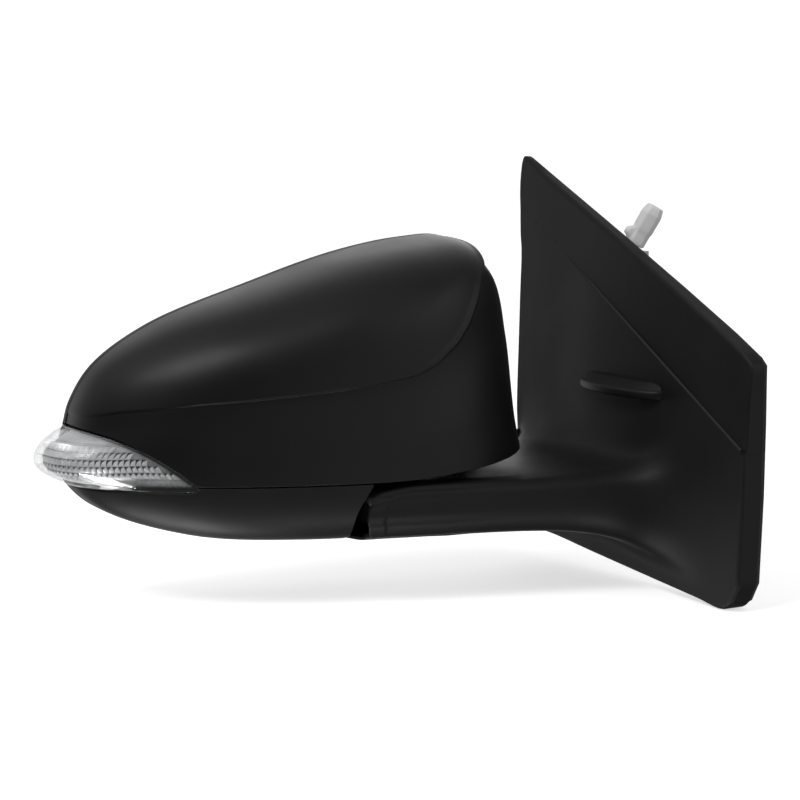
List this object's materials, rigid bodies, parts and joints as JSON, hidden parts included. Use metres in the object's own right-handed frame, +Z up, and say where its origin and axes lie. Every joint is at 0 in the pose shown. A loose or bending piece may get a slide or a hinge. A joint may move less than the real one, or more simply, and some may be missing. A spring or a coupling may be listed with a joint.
{
  "type": "car side mirror",
  "caption": "Powered, folding door mirror for a car's right-hand side, with a triangular sail base, a turn lamp and a tilting glass.",
  "frame": {"origin": "on the door's mounting face, level with the fold axis", "axes": "+X inboard, square to the mounting face, into the door; -Y towards the front of the car; +Z up"},
  "size_m": [0.3107, 0.2054, 0.206],
  "materials": {
    "painted_cap": "satin primer black",
    "grained_black": "fine grained moulded black",
    "clear_lens": "clear polycarbonate, prismatic inside",
    "lamp_bright": "metallised moulding",
    "glass_filled": "glass-filled nylon",
    "white_nylon": "translucent white nylon",
    "cast_alloy": "die cast, matt",
    "zinc_steel": "zinc plated",
    "acetal": "natural acetal",
    "soft_rubber": "matt",
    "cell_foam": "closed cell foam",
    "heater_foil": "polyimide film",
    "silvered": "first quality mirror"
  },
  "bodies": {
    "base": {"sail_cover": "grained_black", "arm_under_cover": "grained_black", "base_bracket": "cast_alloy", "door_gasket": "cell_foam", "mounting_stud_1": "zinc_steel", "mounting_stud_2": "zinc_steel", "mounting_stud_3": "zinc_steel", "wiring_grommet": "soft_rubber", "locating_clip": "white_nylon", "pivot_post": "zinc_steel", "lower_detent_ring": "zinc_steel", "fold_spring": "zinc_steel", "spring_cup": "zinc_steel", "post_nut": "zinc_steel"},
    "head": {"cap_cover": "painted_cap", "lower_cover": "grained_black", "rear_housing": "grained_black", "head_frame": "glass_filled", "upper_detent_ring": "zinc_steel", "lamp_lens": "clear_lens", "lamp_optic": "lamp_bright", "lamp_housing": "glass_filled", "lamp_bulb_holder": "white_nylon", "actuator_front_case": "glass_filled", "actuator_rear_case": "glass_filled", "pivot_ball": "acetal", "yaw_motor": "zinc_steel", "pitch_motor": "zinc_steel"},
    "yaw_worm": {"yaw_worm": "zinc_steel"},
    "yaw_wheel": {"yaw_drive_wheel": "acetal"},
    "yaw_plunger": {"yaw_plunger": "acetal"},
    "pitch_worm": {"pitch_worm": "zinc_steel"},
    "pitch_wheel": {"pitch_drive_wheel": "acetal"},
    "pitch_plunger": {"pitch_plunger": "acetal"},
    "tilt_ring": {"tilt_ring": "acetal"},
    "glass": {"glass_carrier": "grained_black", "heater_pad": "heater_foil", "mirror_glass": "silvered"}
  },
  "joints": [
    {"name": "head_fold", "type": "hinge", "parent": "base", "child": "head", "pos_m": [-0.115, 0, 0], "axis": [0, 0, -1], "range_deg": [-45, 58]},
    {"name": "glass_yaw", "type": "hinge", "parent": "head", "child": "tilt_ring", "pos_m": [-0.16628, 0.0375, 0.03], "axis": [0, 0, 1], "range_deg": [-6.5, 6.5]},
    {"name": "glass_pitch", "type": "hinge", "parent": "tilt_ring", "child": "glass", "pos_m": [-0.16628, 0.0375, 0.03], "axis": [0.9903, -0.1392, 0], "range_deg": [-6.5, 6.5]},
    {"name": "yaw_plunger_slide", "type": "slide", "parent": "head", "child": "yaw_plunger", "axis": [0.1392, 0.9903, 0], "range_m": [-0.003, 0.003]},
    {"name": "yaw_wheel_spin", "type": "hinge", "parent": "head", "child": "yaw_wheel", "pos_m": [-0.14599, 0.00941, 0.03], "axis": [0.1392, 0.9903, 0], "range_deg": [-105, 105]},
    {"name": "yaw_worm_spin", "type": "hinge", "parent": "head", "child": "yaw_worm", "pos_m": [-0.14599, 0.00941, 0.04235], "axis": [0.9903, -0.1392, 0], "range_deg": [-930, 930]},
    {"name": "pitch_plunger_slide", "type": "slide", "parent": "head", "child": "pitch_plunger", "axis": [0.1392, 0.9903, 0], "range_m": [-0.003, 0.003]},
    {"name": "pitch_wheel_spin", "type": "hinge", "parent": "head", "child": "pitch_wheel", "pos_m": [-0.16976, 0.01274, 0.006], "axis": [0.1392, 0.9903, 0], "range_deg": [-105, 105]},
    {"name": "pitch_worm_spin", "type": "hinge", "parent": "head", "child": "pitch_worm", "pos_m": [-0.16976, 0.01274, 0.01835], "axis": [0.9903, -0.1392, 0], "range_deg": [-930, 930]}
  ],
  "couplings": [
    {"joint": "yaw_plunger_slide", "follows": "glass_yaw", "m_per_rad": 0.024},
    {"joint": "yaw_wheel_spin", "follows": "glass_yaw", "ratio": 15.708},
    {"joint": "yaw_worm_spin", "follows": "glass_yaw", "ratio": 141.37},
    {"joint": "pitch_plunger_slide", "follows": "glass_pitch", "m_per_rad": 0.024},
    {"joint": "pitch_wheel_spin", "follows": "glass_pitch", "ratio": 15.708},
    {"joint": "pitch_worm_spin", "follows": "glass_pitch", "ratio": 141.37}
  ]
}
